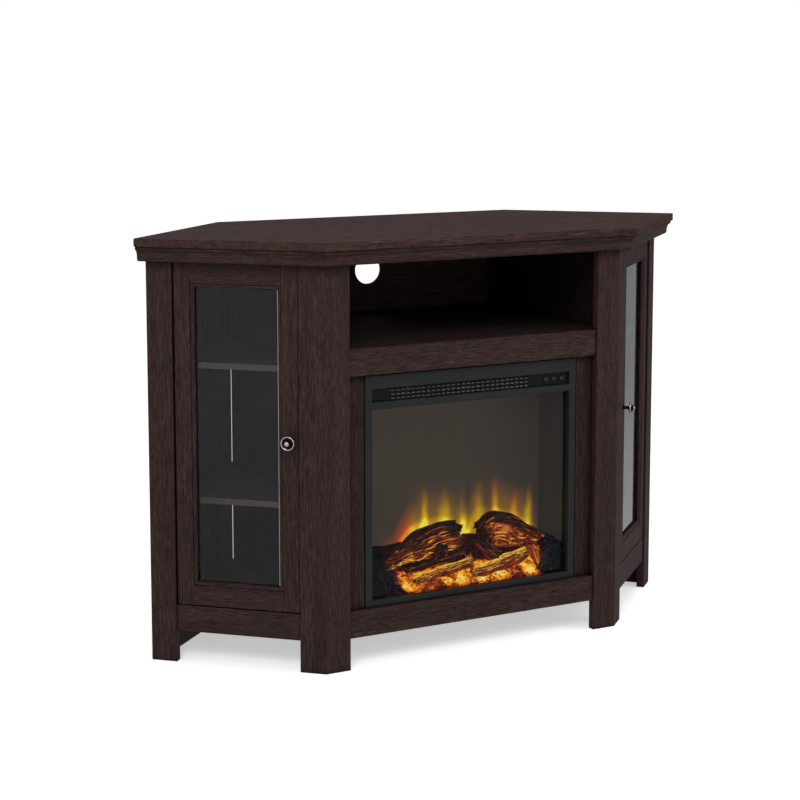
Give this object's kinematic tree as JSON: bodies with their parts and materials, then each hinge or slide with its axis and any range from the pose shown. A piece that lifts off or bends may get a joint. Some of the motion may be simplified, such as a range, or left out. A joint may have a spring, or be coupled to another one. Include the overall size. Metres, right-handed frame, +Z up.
{
  "type": "fireplace tv stand",
  "caption": "Six-sided TV stand with an electric log fireplace under an open media bay and a glass-door cabinet on each slanted side.",
  "frame": {"origin": "on the floor under the middle of the top panel", "axes": "+X to the right along the front, +Y to the back, +Z up; the fireplace faces -Y"},
  "size_m": [1.2192, 0.508, 0.8128],
  "materials": {
    "espresso_wood": "satin espresso wood grain",
    "inner_board": "satin dark board",
    "cabinet_glass": "clear tempered glass",
    "fire_glass": "lightly smoked tempered glass",
    "knob_metal": "dark oiled bronze",
    "pivot_steel": "plain steel",
    "black_steel": "satin black paint",
    "black_plastic": "matte black",
    "screen_plastic": "frosted smoky acrylic",
    "ember_resin": "translucent ember resin",
    "log_resin": "painted bark resin",
    "bright_aluminium": "bright foil and sheet",
    "plated_steel": "zinc plated sheet"
  },
  "bodies": {
    "cabinet": {"bottom_panel": "inner_board", "cord_gland": "black_plastic", "crown_front": "espresso_wood", "crown_left": "espresso_wood", "crown_right": "espresso_wood", "divider_left": "inner_board", "divider_right": "inner_board", "ember_bed": "ember_resin", "filler_left": "espresso_wood", "filler_right": "espresso_wood", "firebox_case": "black_steel", "firebox_front_frame": "black_steel", "firebox_glass": "fire_glass", "flame_screen": "screen_plastic", "front_post_left": "espresso_wood", "front_post_right": "espresso_wood", "grille_panel": "black_plastic", "heater_duct": "plated_steel", "left_lower_shelf": "inner_board", "left_upper_shelf": "inner_board", "log_left": "log_resin", "log_right": "log_resin", "lower_rail_front": "espresso_wood", "lower_rail_left": "espresso_wood", "lower_rail_right": "espresso_wood", "mantel_rail": "espresso_wood", "media_back_panel": "inner_board", "media_shelf": "espresso_wood", "right_lower_shelf": "inner_board", "right_upper_shelf": "inner_board", "side_panel_left": "espresso_wood", "side_panel_right": "espresso_wood", "spindle_motor": "black_plastic", "tip_post_left": "espresso_wood", "tip_post_right": "espresso_wood", "top_panel": "espresso_wood", "top_rail_front": "espresso_wood", "top_rail_left": "espresso_wood", "top_rail_right": "espresso_wood"},
    "left_door": {"left_door_lock_stile": "espresso_wood", "left_door_hinge_stile": "espresso_wood", "left_door_bottom_rail": "espresso_wood", "left_door_top_rail": "espresso_wood", "left_door_glass": "cabinet_glass", "left_door_knob": "knob_metal", "left_door_lower_pivot": "pivot_steel", "left_door_upper_pivot": "pivot_steel"},
    "right_door": {"right_door_lock_stile": "espresso_wood", "right_door_hinge_stile": "espresso_wood", "right_door_bottom_rail": "espresso_wood", "right_door_top_rail": "espresso_wood", "right_door_glass": "cabinet_glass", "right_door_knob": "knob_metal", "right_door_lower_pivot": "pivot_steel", "right_door_upper_pivot": "pivot_steel"},
    "power_button": {"power_button": "black_plastic"},
    "flame_button": {"flame_button": "black_plastic"},
    "heat_button": {"heat_button": "black_plastic"},
    "flame_spindle": {"flame_spindle": "bright_aluminium"},
    "blower_wheel": {"blower_wheel": "bright_aluminium"}
  },
  "joints": [
    {"name": "left_door_hinge", "type": "hinge", "parent": "cabinet", "child": "left_door", "pos_m": [-0.52686, -0.01273, 0.438], "axis": [0, 0, -1], "range_deg": [0, 100]},
    {"name": "right_door_hinge", "type": "hinge", "parent": "cabinet", "child": "right_door", "pos_m": [0.52686, -0.01273, 0.438], "axis": [0, 0, 1], "range_deg": [0, 100]},
    {"name": "power_button_press", "type": "slide", "parent": "cabinet", "child": "power_button", "axis": [0, 1, 0], "range_m": [0, 0.002], "stiffness_N_per_m": 200, "springref_m": -0.001},
    {"name": "flame_button_press", "type": "slide", "parent": "cabinet", "child": "flame_button", "axis": [0, 1, 0], "range_m": [0, 0.002], "stiffness_N_per_m": 200, "springref_m": -0.001},
    {"name": "heat_button_press", "type": "slide", "parent": "cabinet", "child": "heat_button", "axis": [0, 1, 0], "range_m": [0, 0.002], "stiffness_N_per_m": 200, "springref_m": -0.001},
    {"name": "flame_spindle_turn", "type": "hinge", "parent": "cabinet", "child": "flame_spindle", "pos_m": [0, -0.047, 0.1734], "axis": [1, 0, 0], "continuous": true},
    {"name": "blower_wheel_turn", "type": "hinge", "parent": "cabinet", "child": "blower_wheel", "pos_m": [0, -0.128, 0.51425], "axis": [1, 0, 0], "continuous": true}
  ]
}
